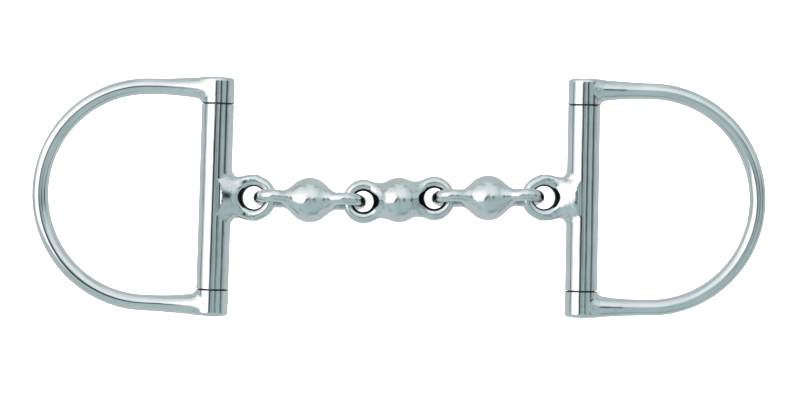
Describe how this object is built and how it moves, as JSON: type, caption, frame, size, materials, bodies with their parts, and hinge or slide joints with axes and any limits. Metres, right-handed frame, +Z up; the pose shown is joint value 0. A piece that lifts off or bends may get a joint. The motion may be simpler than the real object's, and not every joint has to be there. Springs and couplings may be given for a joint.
{
  "type": "dee ring snaffle bit",
  "caption": "Horse bit whose D-shaped cheeks are hinged on tubes and joined by a loose mouthpiece of ball-shaped links, hung eye in eye.",
  "frame": {"origin": "on the surface the bit lies on, under the middle of its outline seen from above", "axes": "+X along the mouthpiece to the right cheek, +Y along the cheeks, +Z up from the surface"},
  "size_m": [0.2778, 0.0912, 0.017],
  "materials": {
    "cast_links": "polished cast stainless steel",
    "barrels": "polished cast stainless steel",
    "bows": "polished stainless steel rod",
    "pins": "turned stainless steel, ends ground flush"
  },
  "bodies": {
    "centre_link": {"centre_ball_link": "cast_links"},
    "left_link": {"left_ball_link": "cast_links"},
    "left_cheek": {"left_cheek_barrel": "barrels"},
    "left_dee": {"left_dee_bow": "bows", "left_hinge_pin": "pins"},
    "right_link": {"right_ball_link": "cast_links"},
    "right_cheek": {"right_cheek_barrel": "barrels"},
    "right_dee": {"right_dee_bow": "bows", "right_hinge_pin": "pins"}
  },
  "joints": [
    {"name": "left_link_fold", "type": "hinge", "parent": "centre_link", "child": "left_link", "pos_m": [-0.01922, -0.00183, 0.0085], "axis": [-0.0436, 0.999, 0], "range_deg": [-90, 90]},
    {"name": "left_cheek_swing", "type": "hinge", "parent": "left_link", "child": "left_cheek", "pos_m": [-0.05278, -0.00022, 0.0085], "axis": [0.008, 0.1906, 0.9816], "range_deg": [-75, 75]},
    {"name": "left_dee_turn", "type": "hinge", "parent": "left_cheek", "child": "left_dee", "pos_m": [-0.06935, 0.0003, 0.0061], "axis": [-0.0314, -0.9995, 0], "range_deg": [-150, 150]},
    {"name": "right_link_fold", "type": "hinge", "parent": "centre_link", "child": "right_link", "pos_m": [0.01915, -0.00015, 0.0085], "axis": [0.0436, -0.999, 0], "range_deg": [-90, 90]},
    {"name": "right_cheek_swing", "type": "hinge", "parent": "right_link", "child": "right_cheek", "pos_m": [0.05275, -0.00006, 0.0085], "axis": [-0.0017, 0.1908, 0.9816], "range_deg": [-75, 75]},
    {"name": "right_dee_turn", "type": "hinge", "parent": "right_cheek", "child": "right_dee", "pos_m": [0.06932, -0.00035, 0.0061], "axis": [0.0174, 0.9998, 0], "range_deg": [-150, 150]}
  ]
}
